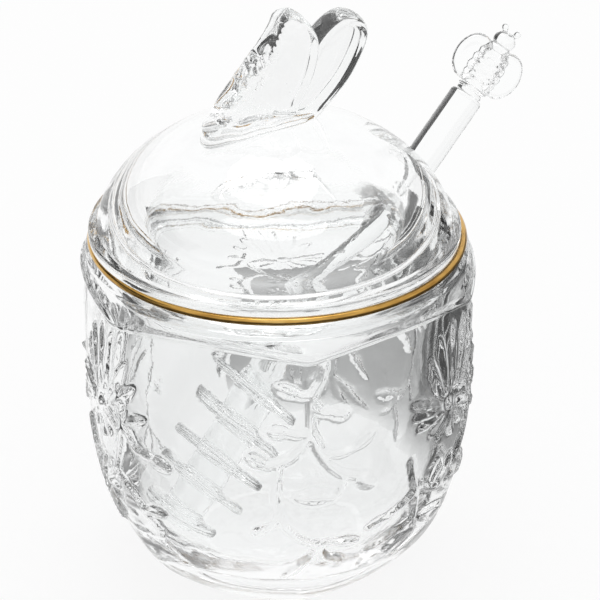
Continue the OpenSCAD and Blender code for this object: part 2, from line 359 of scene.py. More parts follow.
def arch_z(angle):
    """Lower edge of the bead: an arc of radius arch_r over each panel, softened where two meet."""
    total = 0
    shifts = np.linspace(-ARCH_SOFTNESS, ARCH_SOFTNESS, 5)
    for shift in shifts:
        a = np.radians((angle + shift + 30) % 60 - 30)
        total = total + ARCH_TOP_Z - ARCH_R + np.sqrt(ARCH_R ** 2 - (BEAD_R * np.sin(a)) ** 2)
    return total / len(shifts)


print("radius at the waist:", panel_wall(0, WAIST_Z), "at an edge:", panel_wall(30, WAIST_Z))

# %% [markdown]
# ## The vine relief
#
# The mould was carved with a vine: round stems, pointed leaves with a sharp rib, buds in a
# raised rim, and one spread flower with a fan of leaves. Two designs take turns on the edges
# between the panels. A picture could drive a displacement, but here each sprig is a handful
# of design points, in millimetres to the right of a panel's edge and up along its skin. A
# stem is a height that depends only on the distance to its line, and a leaf is a roof over
# its rib.

# %% Heights of stems, leaves and buds
def distance_to(line, u, v):
    """Distance to the nearest of a line's pieces: from p to a + t (b - a), with t kept in 0..1."""
    best = np.full(u.shape, 1e9)
    for (au, av), (bu, bv) in zip(line, line[1:]):
        du, dv = bu - au, bv - av
        t = np.clip(((u - au) * du + (v - av) * dv) / (du * du + dv * dv + 1e-9), 0, 1)
        best = np.minimum(best, np.hypot(u - au - t * du, v - av - t * dv))
    return best


def stem(points, u, v, half_width=0.95, height=1.0):
    """Round cord: height times root(1 - dd), where d is the distance in half widths."""
    d = distance_to(smooth_line(points, 6), u, v) / half_width
    return height * np.sqrt(np.clip(1 - d * d, 0, 1))


def leaf_frame(base, tip, u, v, bend=0.0):
    """Share of the way t from base to tip, and distance s to the side of the bent rib."""
    du, dv = tip[0] - base[0], tip[1] - base[1]
    length = math.hypot(du, dv)
    t = ((u - base[0]) * du + (v - base[1]) * dv) / length ** 2
    s = ((v - base[1]) * du - (u - base[0]) * dv) / length
    inside = np.clip(t, 0, 1)
    return t, s - bend * 4 * inside * (1 - inside)


def leaf(base, tip, u, v, half_width=2.2, height=1.15, bend=0.0, sharp=1.0):
    """Roof over a rib: height (1 - |s| / w) to the power sharp, where the half width w is
    that of a pointed oval, sin(pi t) to the power 0.8."""
    t, s = leaf_frame(base, tip, u, v, bend)
    w = half_width * np.sin(np.pi * np.clip(t, 0, 1)) ** 0.8
    across = np.clip(1 - np.abs(s) / np.maximum(w, 1e-6), 0, 1)
    return np.where(w > 0.05, height * across ** sharp * np.minimum(1, w / 0.9), 0)


def part_way(start, end, share):
    """The point at a share of the way from start to end."""
    return start[0] + share * (end[0] - start[0]), start[1] + share * (end[1] - start[1])


def bud(base, tip, u, v, half_width=2.3, height=1.25):
    """Full leaf with a low ledge round it, like a bud in its husk. The ledge is an oval whose
    distance is q = root(ss / ww + (2t-1)(2t-1)), and it ends softly at q = 1."""
    t, s = leaf_frame(base, tip, u, v)
    q = np.hypot(s / half_width, 2 * t - 1)
    ledge = 0.45 * smooth_step(1.0, 0.78, q)
    almond = leaf(part_way(base, tip, 0.1), part_way(base, tip, 0.9), u, v,
                  0.72 * half_width, height, sharp=0.8)
    return np.maximum(ledge, almond)


# %% [markdown]
# The first design is an open spray: a stem that comes down from the corner of the bead,
# parts in two, and curls round one big leaf.

# %% Sprig A
def sprig_a(u, v):
    """The highest of all stems, leaves and buds of the open spray."""
    stems = [
        [(4.2, 91), (3.8, 87.5), (3.1, 83.4), (0.9, 79.3), (0.5, 72.7), (0.8, 68.9), (2.5, 64.2),
         (5, 60), (8.9, 55.6)],
        [(8.6, 55.2), (8.2, 52.4), (6.4, 50.4)],
        [(0.5, 79.4), (-1.8, 79.6)],
        [(0.7, 77.4), (2.4, 75), (4.9, 74)],
        [(0.4, 69.5), (-2.3, 69), (-4.4, 69.5)],
        [(0.4, 68.9), (-1.8, 65.4), (-4.1, 62.6), (-6.8, 61.1), (-9.6, 60.2)],
        [(1.0, 69.3), (3, 64.8), (4.4, 63.1), (7, 62.4), (11.2, 62.9)],
        [(5.4, 59.5), (8, 57), (11.6, 55.2)],
        [(-6.6, 60.9), (-7.3, 56), (-7.2, 50.2), (-5.9, 44.1), (-3.7, 41.1), (-0.6, 37.9),
         (2.7, 36.6), (6.8, 35.8)],
        [(-7.1, 46), (-8.2, 43.4), (-9.4, 42)],
        [(2.7, 36.6), (1.4, 32.3), (-0.9, 30)],
        [(2.7, 36.4), (4.2, 32.2), (5.2, 30.7)],
    ]
    parts = [stem(line, u, v) for line in stems]
    parts += [
        leaf((7, 50.2), (-3.6, 51.6), u, v, 2.9, 1.3, bend=-0.5),
        leaf((11, 62.8), (17, 66.9), u, v, 2.0, bend=-0.3),
        leaf((6.4, 35.9), (14.2, 34), u, v, 2.2, bend=-0.2),
        leaf((-0.6, 30.2), (-5.4, 23.8), u, v, 1.9),
        leaf((5, 31), (9.8, 28.2), u, v, 1.7),
        bud((-1.6, 79.4), (-7.8, 81.9), u, v, 1.9),
        bud((4.5, 74.2), (10.3, 72.3), u, v, 1.9),
        bud((-4.2, 69.5), (-9.6, 69.8), u, v, 1.9),
        bud((-9.4, 60.2), (-14.7, 63), u, v, 2.1),
        bud((11.4, 55.2), (17.8, 50.3), u, v, 2.6),
        bud((-9.2, 42.2), (-13.4, 39.6), u, v, 1.8),
    ]
    return np.maximum.reduce(parts)


# %% [markdown]
# The second design is dense: a tall bundle of leaves under the bead, a drooping flower at the
# jar's widest place, and a bough with leaves that reach far to both sides below it.

# %% Sprig B
def sprig_b(u, v):
    """The highest of all stems, petals and leaves of the dense bough."""
    heart = (-8.5, 64)
    stems = [
        [(1.7, 90), (1.7, 86), (0.3, 78.8), (0.7, 70.8), (2.4, 63.1), (5.4, 57.4), (9.4, 56)],
        [(-20.6, 53), (-19.3, 48.5), (-17.6, 43.6), (-16.5, 38.8), (-15.4, 34.2)],
        [(-17.7, 43.7), (-20.4, 41.5), (-25.2, 38.9)],
        [(-17.2, 44.9), (-13.4, 42.4), (-10.7, 41.1), (-7.4, 40.4)],
        [(2, 64), (0.5, 56), (-2.6, 48.2), (-9, 41.2)],
        [(-2.6, 48.2), (3, 43), (6, 38)],
    ]
    parts = [stem(line, u, v) for line in stems]
    tall = [((-8, 66), (-6.6, 87.2)), ((-9.4, 66), (-12, 84.5)), ((-6, 66), (-1.6, 86.6)),
            ((-10.4, 66), (-15.6, 79.5)), ((-4.6, 66), (3.4, 80)), ((-3.6, 65.6), (6.4, 74.4))]
    parts += [leaf(base, tip, u, v, 2.3, 1.15) for base, tip in tall]
    petals = [(-22, 69.2), (-21.4, 65.1), (-20, 61.2), (-15.2, 57.4), (-11.6, 55.4),
              (-6.9, 54.2), (-2.2, 56.2), (1.6, 59.8)]
    parts += [leaf(part_way(heart, petal, 0.12), petal, u, v, 1.9, 1.35, bend=0.2, sharp=0.8)
              for petal in petals]
    parts += [1.3 * np.exp(-(np.hypot(u - heart[0], v - heart[1]) / 2.2) ** 2)]
    leaves = [((-24.6, 39.1), (-31.6, 37)), ((-12.4, 42.4), (-8.4, 48.6)),
              ((-9.4, 41.1), (-4.6, 49.4)), ((-8, 40.6), (-2.4, 42)),
              ((-7.8, 40.2), (-3.4, 37.4)), ((-15.2, 34.4), (-20.4, 31.6)),
              ((-15.4, 34.2), (-29.2, 29)), ((-15, 33.8), (-21.2, 27)),
              ((-14.6, 33.8), (-7, 28.2)), ((-14.8, 34.4), (-3, 32.4)),
              ((2.4, 63), (9.4, 66.4)), ((5.4, 38.4), (9.8, 32.8)), ((5.6, 39), (12.6, 40))]
    parts += [leaf(base, tip, u, v, 1.9, 1.1) for base, tip in leaves]
    parts += [bud((9.2, 56), (16, 53.8), u, v, 2.2)]
    return np.maximum.reduce(parts)


# %% [markdown]
# ## The jar's skin
#
# A jar is a turned piece, so one line runs from the middle of its foot, up the outside, over
# the lip and down the inside to the middle of the hollow. Every column of the sheet has its
# own such line, because the panels and arches change it. Most rows go to the carved wall,
# where they are less than a millimetre apart; the plain places get by with few.

# %% Rows of the foot and the wall
COLUMNS, WALL_ROWS = 480, 130
FOOT_RECESS, WALL_START, WALL_END = 0.8, 1.3, 84
turn = np.arange(COLUMNS) * 360 / COLUMNS
azimuth = np.radians(turn + PANEL_TURN)
angle = turn % 60 - 30

foot_r = panel_wall(angle, 0.0)
share = np.array([0.2, 0.4, 0.56, 0.68, 0.78, 0.85, 0.9])[:, None]
foot_rows = share * foot_r
foot_z = FOOT_RECESS * np.clip(1 - (share / 0.84) ** 2, 0, 1) ** 2 + 0 * foot_rows

start_r = panel_wall(angle, WALL_START)
t = np.array([0, 0.33, 0.66])[:, None]
corner_r = (1 - t) ** 2 * 0.94 * foot_r + 2 * t * (1 - t) * foot_r + t ** 2 * start_r
corner_z = t ** 2 * WALL_START + 0 * corner_r

z_table = np.linspace(WALL_START, WALL_END, 400)
r_table = panel_radius(z_table)
v_table = np.concatenate([[0], np.cumsum(np.hypot(np.diff(r_table), np.diff(z_table)))])
v_top = np.interp(arch_z(angle), z_table, v_table)
v_rows = np.linspace(0, 1, WALL_ROWS)[:, None] * v_top
wall_z = np.interp(v_rows, v_table, z_table)
wall_r = panel_wall(angle[None, :], wall_z)
print("rows of the wall are", round(float(v_top.mean() / WALL_ROWS), 2), "mm apart")

# %% [markdown]
# The relief is added along the skin's own direction. A sprig reaches less than 45 degrees to
# each side of its edge, so it is worked out once on that patch and stamped three times round.

# %% Stamp the relief on the wall
CORNER_LENGTH = 3.0
PATCH = 60
side = np.arange(-PATCH, PATCH + 1)
patch_angle = side * 360 / COLUMNS
patch_u = wall_r[:, side % COLUMNS] * np.radians(patch_angle)
patch_v = v_rows[:, side % COLUMNS] + CORNER_LENGTH
fade = smooth_step(2, 8, patch_v)
relief = np.zeros_like(wall_r)
for edge in range(PANELS):
    sprig = (sprig_b if edge % 2 else sprig_a)(patch_u, patch_v) * fade
    where = (edge * COLUMNS // PANELS + side) % COLUMNS
    relief[:, where] = np.maximum(relief[:, where], sprig)
near_bead = smooth_step(0, 1.6, v_top - v_rows)
relief *= near_bead

slope = np.gradient(wall_r, axis=0) / np.gradient(wall_z, axis=0)
out_r, out_z = 1 / np.hypot(1, slope), -slope / np.hypot(1, slope)
wall_r = wall_r + relief * out_r
wall_z = wall_z + relief * out_z
print("relief stands up to", round(float(relief.max()), 2), "mm proud")

# %% [markdown]
# Above the wall come the bead, the collar and the round lip; inside are the ledge for the
# lid and the hollow. The hollow's wall is never quite true on a pressed jar, because the
# plunger chills it, and those slow waves are what bends the straight lines seen through it.

# %% Rows of the bead, the collar, the lip and the hollow
t = np.linspace(0, 1, 9)[1:, None]
bead_r = panel_wall(angle, arch_z(angle)) + BEAD_LIFT * (1 - np.abs(2 * t - 1) ** 3)
bead_z = arch_z(angle) + BEAD_H * t

COLLAR_TOP_Z = 88.5
t = np.linspace(0, 1, 8)[1:, None]
collar_z = (1 - t) * bead_z[-1] + t * COLLAR_TOP_Z
share = np.clip((collar_z - bead_z[-1]) / (COLLAR_MID_Z - bead_z[-1]), 0, 1)
collar_r = bead_r[-1] + (COLLAR_MID_R - bead_r[-1]) * share
collar_r = collar_r - np.interp(collar_z, [COLLAR_MID_Z, 87.4, 88.2, COLLAR_TOP_Z],
                                [0, 0.1, 0.5, 0.9])

GLASS_TUBE = 0.82
phi = np.radians(np.linspace(-25, 180, 12))[:, None]
lip_r = LIP_R + GLASS_TUBE * np.cos(phi) + 0 * angle
lip_z = LIP_Z + GLASS_TUBE * np.sin(phi) + 0 * angle

BORE_R, BOTTOM_T, BORE_POWER, LEDGE_Z, LEDGE_R = 42.2, 8, 3.5, 88.0, 43.8
ledge = round_corners([(LIP_R - GLASS_TUBE, LIP_Z, 0), (LEDGE_R + 0.1, LEDGE_Z, 0.4),
                       (BORE_R, LEDGE_Z, 0.5), (BORE_R, WAIST_Z + 1, 0)], steps=3)[1:-1]
depth = np.linspace(0, 1, 60)[1:]
bore_z = WAIST_Z - (WAIST_Z - BOTTOM_T) * np.sin(depth * np.pi / 2)
bore_r = BORE_R * (1 - ((WAIST_Z - bore_z) / (WAIST_Z - BOTTOM_T)) ** BORE_POWER
                   ) ** (1 / BORE_POWER)
bore = np.concatenate([[(BORE_R, LEDGE_Z - 0.8), (BORE_R, WAIST_Z)],
                       np.stack([bore_r, bore_z], axis=-1)])
bore = even_steps(bore, 3.3)[:-1]
inside = np.concatenate([ledge, bore])[:, :, None] + np.zeros(COLUMNS)
depth_wave = smooth_step(86, 78, inside[:, 1]) * smooth_step(5, 25, inside[:, 0])
wave = (0.16 * np.sin(5 * azimuth + inside[:, 1] / 14) * np.sin(inside[:, 1] / 9 + 1)
        + 0.10 * np.sin(11 * azimuth - inside[:, 1] / 7 + 2)
        + 0.08 * np.sin(3 * azimuth + inside[:, 1] / 5))
inside_r = inside[:, 0] + depth_wave * wave
inside_z = inside[:, 1]

# %% [markdown]
# All rows, from the foot to the bottom of the hollow, are now one sheet. It is closed at both
# poles, so the jar is a real wall of glass with an inside and an outside.

# %% Sew the jar
all_r = np.concatenate([foot_rows, corner_r, wall_r, bead_r, collar_r, lip_r, inside_r])
all_z = np.concatenate([foot_z, corner_z, wall_z, bead_z, collar_z, lip_z, inside_z])
sheet = turned_sheet(all_r, azimuth, all_z)
jar = sew("jar_glass", sheet, first=(0, 0, FOOT_RECESS), last=(0, 0, BOTTOM_T))
jar.data.materials.append(pressed_glass)
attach(jar, "jar")
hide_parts("jar_bowl")
print("jar:", sheet.shape, triangles(jar), "triangles")

# %% [markdown]
# ## The gilded lip
#
# The gold is a thin band over the round lip. A coloured stripe in the jar's material would
# do from far off, but a band with its own edges catches light as the real one does, and it
# can end in the slightly unsteady line that a brush leaves.

# %% Sew the gold band
GOLD_COLUMNS, BAND_INSIDE = 288, 0.86
around = np.arange(GOLD_COLUMNS) * 2 * np.pi / GOLD_COLUMNS
hand = (np.sin(3 * around) + 0.7 * np.sin(8 * around + 1) + 0.5 * np.sin(17 * around + 2)
        + 0.4 * np.sin(41 * around) + 0.3 * np.sin(67 * around + 1))
low_edge = np.radians(-31 + 2.2 * hand)
high_edge = np.radians(186 + 2.5 * np.roll(hand, 40))
t = np.linspace(0, 1, 15)[:, None]
over = low_edge + (high_edge - low_edge) * t
swell = LIP_TUBE - 0.14 * (2 * t - 1) ** 6
band_r = np.concatenate([LIP_R + swell * np.cos(over), LIP_R + BAND_INSIDE * np.cos(over[::-1])])
band_z = np.concatenate([LIP_Z + swell * np.sin(over), LIP_Z + BAND_INSIDE * np.sin(over[::-1])])
sheet = turned_sheet(band_r, around, band_z)
gilding = sew("gilded_lip", sheet, loop_rows=True)
gilding.data.materials.append(gold)
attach(gilding, "jar")
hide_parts("rim_gilding")
print("gilding:", triangles(gilding), "triangles")

# %% [markdown]
# ## The lid's dome
#
# The lid is a thick lens of pressed glass: a full dome outside, a shallow hollow inside, a
# flange that rests on the gilded lip, and a ring below that drops into the jar. The two
# curves are superellipses, as on the CAD model. Their distance decides what the lid shows,
# because thick curved glass bends the far rim out of sight and leaves the top nearly white.
# A loose lid never lies quite central, so this one is moved 0.6 mm to one side.

# %% Section of the dome
DOME_R, DOME_Z, DOME_RISE, DOME_POWER = 43.8, 89, 31, 1.9
LID_Z, FLANGE_R, FLANGE_H = 90.35, 45.1, 2.2
HOLLOW_R, HOLLOW_Z, HOLLOW_TOP, HOLLOW_POWER = 31, 91.95, 105.45, 2.2
RING_R, RING_IN_R, RING_H, UNDERSIDE_Z = 41.3, 32, 8.5, 89.35
SHIFT_TURN = math.radians(144)
LID_SHIFT = 0.6 * np.array([math.cos(SHIFT_TURN), math.sin(SHIFT_TURN)])


def dome_curve(radius, low, rise, power, first, last, steps):
    """Superellipse: radius and rise times the cosine and sine to the power 2/p, for an angle
    that goes from first to last degrees."""
    q = np.radians(np.linspace(first, last, steps))
    return np.stack([radius * np.cos(q) ** (2 / power), low + rise * np.sin(q) ** (2 / power)], -1)


def dome_height(distance):
    """The same curve by its radius: z + rise (1 - (r / R) to the power p) to the power 1/p."""
    return DOME_Z + DOME_RISE * (1 - (distance / DOME_R) ** DOME_POWER) ** (1 / DOME_POWER)


inner = dome_curve(HOLLOW_R, HOLLOW_Z, HOLLOW_TOP - HOLLOW_Z, HOLLOW_POWER, 89.2, 0, 90)
outer = dome_curve(DOME_R, DOME_Z, DOME_RISE, DOME_POWER, 9, 89.6, 160)
lower = round_corners([(*inner[-1], 0), (HOLLOW_R, UNDERSIDE_Z, 0.4),
                       (RING_IN_R, UNDERSIDE_Z, 0.4), (RING_IN_R, LID_Z - RING_H, 0.9),
                       (RING_R, LID_Z - RING_H, 0.9), (RING_R, LID_Z, 0.5),
                       (FLANGE_R, LID_Z, 0.5), (FLANGE_R, LID_Z + FLANGE_H, 0.7),
                       (*outer[0], 0)], steps=4)
section = np.concatenate([even_steps(inner, 1.2)[:-1], lower[:-1], even_steps(outer, 0.75)])
print("section of the lid:", len(section), "points")

# %% [markdown]
# A plunger and a mould never leave glass quite true. A slow wave goes over both faces, and it
# is what makes the lines seen through the lid wander. The notch for the dipper is then cut
# out with an exact boolean. The cutter has the notch's round top and goes down past the
# ring, so that the lid lifts off over the dipper's rod.

# %% Sew the dome and cut the notch
LID_COLUMNS = 300
around = np.arange(LID_COLUMNS) * 2 * np.pi / LID_COLUMNS
radius = section[:, :1] + 0 * around
z = section[:, 1:] + 0 * around
on_curve = smooth_step(93.5, 97, z)
wave = (0.10 * np.sin(3 * around + radius / 6) + 0.07 * np.sin(5 * around - radius / 4 + 1)
        + 0.05 * np.sin(9 * around + radius / 3 + 2))
z = z + 0.6 * on_curve * wave * smooth_step(0, 12, radius)
sheet = turned_sheet(radius, around, z)
dome = sew("lid_glass", sheet, first=(0, 0, HOLLOW_TOP), last=(0, 0, DOME_Z + DOME_RISE))

NOTCH_W, NOTCH_H = 13, 11.2
CUT_FROM, CUT_TO, CUT_LOW = 18, 60, 70
notch_r = NOTCH_W / 2
notch_z = LID_Z + NOTCH_H - notch_r
arc = np.radians(np.linspace(0, 180, 33))
outline = np.concatenate([np.stack([notch_r * np.cos(arc), notch_z + notch_r * np.sin(arc)], -1),
                          [(-notch_r, CUT_LOW), (notch_r, CUT_LOW)]])
ends = [np.stack([np.full(len(outline), far), outline[:, 0], outline[:, 1]], -1)
        for far in (CUT_FROM, CUT_TO)]
cutter = sew("notch_cutter", np.stack(ends), first=(CUT_FROM, 0, 88), last=(CUT_TO, 0, 88))


def combine(obj, other, operation):
    """Adds the other solid to obj or cuts it out, with an exact boolean, and removes the other."""
    modifier = obj.modifiers.new("combine", "BOOLEAN")
    modifier.object, modifier.operation, modifier.solver = other, operation, "EXACT"
    with bpy.context.temp_override(object=obj, active_object=obj, selected_objects=[obj]):
        bpy.ops.object.modifier_apply(modifier=modifier.name)
    bpy.data.objects.remove(other)


combine(dome, cutter, "DIFFERENCE")
print("dome with its notch:", triangles(dome), "triangles")

# %% [markdown]
# ## The butterfly knob
#
# The knob is one lump of pressed glass: a butterfly with its wings raised and shut. Each pair
# of wings is a block in the shape of its outline, with smooth faces, a soft rim and a broad,
# rough leading edge. The blocks, the trunk and the foot are joined with exact booleans,
# because the crisp steps between them are what reads in clear glass; a melted skin, as on
# the bee below, would wash them out.

# %% Outlines and veins of the wings
FOREWING = [(-15.5, 120.8), (-15.2, 126), (-9, 133.4), (-2.2, 142), (0.8, 146.6), (4.6, 147.3),
            (8.6, 143.6), (10.6, 138.6), (9.4, 131), (6, 124), (3.6, 120.6), (-6, 120.9)]
HINDWING = [(1, 119.4), (4, 128), (8.4, 137.6), (12.6, 142.6), (17.6, 144.8), (22, 142.8),
            (23.6, 138), (19.6, 129), (13.4, 121.8), (8.8, 118.4)]
WING_ROOT_Z, WING_SPLAY = 120.0, math.tan(math.radians(1.5))
KNOB_TURN = math.radians(-11.5)
leading_edge = smooth_line(FOREWING[:5], 8)
VEINS = [[(-5.1, 127.9), (-5.6, 125.2), (-5.2, 123.6), (-5.9, 121.8)],
         [(-2.1, 131.7), (-3.0, 128.6), (-3.3, 126.6), (-4.4, 122)],
         [(-0.6, 134.4), (-0.4, 130.4), (-1.4, 127), (-1.6, 124.6), (-2.6, 122.1)],
         [(2.4, 136), (0.9, 132.8), (1.2, 130.8), (2.0, 130.4), (2.2, 128.4)]]
FOLD = [(10.8, 137.2), (12.5, 137.5), (15.6, 138.8)]
FOREWING_T, HINDWING_T = 4.0, 3.4
print("veins:", len(VEINS), "leading edge:", len(leading_edge), "points")

# %% [markdown]
# A face could be carved with sculpting brushes, but a height over the wing's flat plane does
# it in one formula: the rim is a quarter circle, the veins are narrow grooves, and the rough
# leading edge is a sum of short waves that fades out towards the smooth middle.

# %% Height of a wing's face
def face_height(u, z, outline, thick, side, is_fore):
    """Distance of a face from the knob's middle plane. With d the distance to the outline and R
    the rim's size, it is the half thickness times root(1 - (1 - d/R)(1 - d/R)), d/R at most 1.
    Thin grooves are veins, and waves with short lengths roughen the leading edge."""
    d = distance_to(outline, u, z)
    from_edge = distance_to(leading_edge, u, z)
    lead = smooth_step(5.4, 3.4, from_edge) if is_fore else 0 * u
    rim = 1.6 + 2.4 * lead
    bow = np.sqrt(1 - (1 - np.clip(d / rim, 0, 1)) ** 2)
    skin = 0.26 * np.sin(1.6 * from_edge + 1.6 * np.sin(z * 0.45 + side) + 2 * side)
    skin = skin + 0.20 * np.sin(1.3 * u + 0.9 * z + side) * np.sin(1.1 * z - 0.7 * u)
    skin = skin + 0.07 * np.sin(4.1 * u - 2.2 * z) * np.sin(3.3 * z + 2 * u + side)
    skin = skin * lead
    if is_fore:
        for vein in VEINS:
            skin = skin - 0.16 * np.exp(-(distance_to(vein, u, z) / 0.3) ** 2)
        skin = skin + 0.08 * np.sin(0.5 * u + 0.3 * z) * (1 - lead)
    else:
        skin = skin - 0.35 * smooth_step(2.0, 2.9, d)
        skin = skin - 0.15 * np.exp(-(distance_to(FOLD, u, z) / 0.35) ** 2)
    return (thick + (z - WING_ROOT_Z) * WING_SPLAY) * bow + skin * np.clip(d / 0.8, 0, 1)


# %% One pair of wings as a closed block
def wings(name, outline_points, thick, is_fore):
    """A sheet from the middle of one face over the rim to the middle of the other. A share s of
    the way from the middle m to the outline p is m + (1 - (1-s) to the power 1.6) (p - m)."""
    outline = smooth_line(outline_points, 14, closed=True)
    outline = even_steps(np.concatenate([outline, outline[:1]]), 0.4)[:-1]
    closed = np.concatenate([outline, outline[:1]])
    middle = outline.mean(axis=0)
    s = np.linspace(0, 1, 60)[1:, None, None]
    flat = middle + (1 - (1 - s) ** 1.6) * (outline - middle)
    u, z = flat[..., 0], flat[..., 1]
    far = face_height(u, z, closed, thick, 1, is_fore)
    near = -face_height(u, z, closed, thick, -1, is_fore)
    far[-1] = near[-1] = 0
    sheet = np.stack([np.concatenate([u, u[-2::-1]]), np.concatenate([far, near[-2::-1]]),
                      np.concatenate([z, z[-2::-1]])], axis=-1)
    poles = [(middle[0], side * float(face_height(middle[:1], middle[1:], closed, thick, side,
                                                  is_fore)[0]), middle[1]) for side in (1, -1)]
    return sew(name, sheet, first=poles[0], last=poles[1])


# %% [markdown]
# The trunk lies between the wings as a row of soft swellings. Its radius along its line is the
# outline of a chain of balls, and rings of that radius are sewn up about the line.

# %% Trunk as a turned shape
def turned(name, centre_line, radii, columns=32):
    """Rings about a line in the knob's middle plane, square to the way from end to end."""
    centre_line, radii = np.array(centre_line, float), np.array(radii, float)
    along = centre_line[-1] - centre_line[0]
    along = along / np.linalg.norm(along)
    sideways = np.array([0, 1.0, 0])
    upright = np.cross(along, sideways)
    a = np.arange(columns) * 2 * np.pi / columns
    ring = np.cos(a)[:, None] * sideways + np.sin(a)[:, None] * upright
    sheet = centre_line[:, None] + radii[:, None, None] * ring
    return sew(name, sheet[1:-1], first=centre_line[0], last=centre_line[-1])


def ball_chain(stations, steps=48):
    """Radius along a line as the smooth outline of balls: stations are (place, radius)."""
    stations = np.array(stations, float)
    low = (stations[:, 0] - stations[:, 1]).min()
    high = (stations[:, 0] + stations[:, 1]).max()
    at = low + (high - low) * (1 - np.cos(np.linspace(0, np.pi, steps))) / 2
    inside = stations[:, 1] ** 2 - (at[:, None] - stations[:, 0]) ** 2
    return at, np.sqrt(np.clip(inside.max(axis=1), 0, None))


at, radii = ball_chain([(-15.5, 3.0), (-12.6, 2.5), (-10.4, 3.0), (-8, 3.4), (-5.6, 3.1),
                        (-3, 2.7), (-0.4, 2.6), (2.2, 2.5), (4.8, 2.3), (7, 2.2)])
line = np.stack([at, 0 * at, 121.0 + 0.6 * np.cos(at / 6)], axis=-1)
knob = turned("knob", line, radii)
print("trunk:", round(float(at[-1] - at[0]), 1), "mm long,", triangles(knob), "triangles")

# %% [markdown]
# The foot under the wings is a low loaf with two wavy ledges. Its outline at each level is a
# superellipse, and its levels run from just inside the dome to the wings' lower edge, so the
# loaf is thick at the head, where the dome falls away, and thin at the tail. Each level is
# given as its half width and its share of the way up.

# %% Foot of the knob
FOOT_MIDDLE, FOOT_HALF_L = -5.0, 13.5
levels = np.array([(5.7, -0.5), (5.8, 0.12), (5.7, 0.24), (5.35, 0.34), (5.0, 0.37), (4.95, 0.44),
                   (4.95, 0.55), (4.8, 0.63), (4.4, 0.68), (4.25, 0.72), (4.2, 0.85), (4.0, 1.0),
                   (2.2, 1.12)])
a = np.arange(160) * 2 * np.pi / 160
c, s = np.cos(a), np.sin(a)
reach = levels[:, :1]
u = FOOT_MIDDLE + (FOOT_HALF_L + reach - 5.5) * np.sign(c) * np.abs(c) ** 0.8
w = reach * np.sign(s) * np.abs(s) ** 0.8
low = dome_height(np.hypot(u, w))
high = 121.3 + 0.02 * u + 0.35 * np.sin(0.84 * u + 0.6)
sheet = np.stack([u, w, low + (high - low) * levels[:, 1:]], axis=-1)
foot = sew("knob_foot_loaf", sheet, first=(FOOT_MIDDLE, 0, 116), last=(FOOT_MIDDLE, 0, 121.9))
print("foot of the knob:", triangles(foot), "triangles")


# %% [markdown]
# The lid is one pressing, so the knob and the dome become one closed skin and no wall is left
# inside the glass. Faces that meet at more than 40 degrees keep a crisp edge, and the rest are
# shaded as one smooth surface.

# %% Join the knob and fuse it with the dome
def finish_glass(obj, crease, material):
    """Smooth faces with edges kept crisp above the crease, in degrees, and one material."""
    obj.data.polygons.foreach_set("use_smooth", np.ones(len(obj.data.polygons), bool))
    obj.data.set_sharp_from_angle(angle=math.radians(crease))
    obj.data.materials.clear()
    obj.data.materials.append(material)


def place_on_lid(obj, angle, shift):
    """Moves the mesh itself: x' = x cos - y sin and y' = x sin + y cos, and then the shift."""
    co = np.zeros(len(obj.data.vertices) * 3)
    obj.data.vertices.foreach_get("co", co)
    co = co.reshape(-1, 3)
    c, s = math.cos(angle), math.sin(angle)
    co = np.stack([co[:, 0] * c - co[:, 1] * s, co[:, 0] * s + co[:, 1] * c, co[:, 2]], -1)
    co[:, :2] += np.asarray(shift) * MM
    obj.data.vertices.foreach_set("co", co.ravel())
    obj.data.update()


combine(knob, wings("hindwings", HINDWING, HINDWING_T, False), "UNION")
combine(knob, wings("forewings", FOREWING, FOREWING_T, True), "UNION")
combine(knob, foot, "UNION")
place_on_lid(knob, KNOB_TURN, (0, 0))
print("knob:", triangles(knob), "triangles")
combine(dome, knob, "UNION")
place_on_lid(dome, 0, LID_SHIFT)
lid = dome
finish_glass(lid, 40, pressed_glass)
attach(lid, "lid")
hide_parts("lid_dome", "knob_foot", "butterfly_body", "left_forewing", "right_forewing",
            "left_hindwing", "right_hindwing")
print("lid:", triangles(lid), "triangles")

# %% [markdown]
# ## The dipper
#
# The dipper was made at the lamp: a rod, a thicker core, and five discs gathered round it.
# It is turned about its own line, so it is drawn upright and then leaned into place. Hand
# work shows as a slow change in the rod's thickness.

# %% Section of the rod, the core and the discs
LEAN, ROD_AIR = math.radians(45), 0.06
ROD_R, CORE_R, ROD_UP = 4.3, 5.2, 19.5
REST = np.array([LIP_R, 0, LIP_Z + (LIP_TUBE + ROD_R + ROD_AIR) / math.sin(LEAN)])
FIRST_DISC, DISC_PITCH, DISC_T = 70.4, 8.85, 2.8
DISC_R = [13.5, 14.5, 14.5, 13.5, 11]


def lean(points):
    """Turns the upright dipper about +Y by the lean, and puts its zero over the lip."""
    x, y, z = np.moveaxis(np.asarray(points, float), -1, 0)
    c, s = math.cos(LEAN), math.sin(LEAN)
    return np.stack([x * c + z * s, y, z * c - x * s], axis=-1) + REST


last_disc = FIRST_DISC + (len(DISC_R) - 1) * DISC_PITCH
half = DISC_T / 2
corners = [(2.6, -last_disc - 4, 0), (CORE_R, -last_disc - 3.2, 1.6)]
for number, radius in reversed(list(enumerate(DISC_R))):
    middle = -FIRST_DISC - number * DISC_PITCH
    corners += [(CORE_R, middle - half, 0.7), (radius - 0.2, middle - half + 0.25, 1.15),
                (radius - 0.2, middle + half - 0.25, 1.15), (CORE_R, middle + half, 0.7)]
corners += [(CORE_R, -FIRST_DISC + 2.4, 0.8), (ROD_R, -FIRST_DISC + 4.6, 1.2),
            (ROD_R, ROD_UP - 0.6, 0.8), (1.0, ROD_UP, 0)]
section = round_corners(corners, steps=6)
long_steps = np.linspace(-FIRST_DISC + 8, ROD_UP - 3, 40)
before = section[section[:, 1] < long_steps[0]]
after = section[section[:, 1] > long_steps[-1]]
section = np.concatenate([before, np.stack([0 * long_steps + ROD_R, long_steps], -1), after])
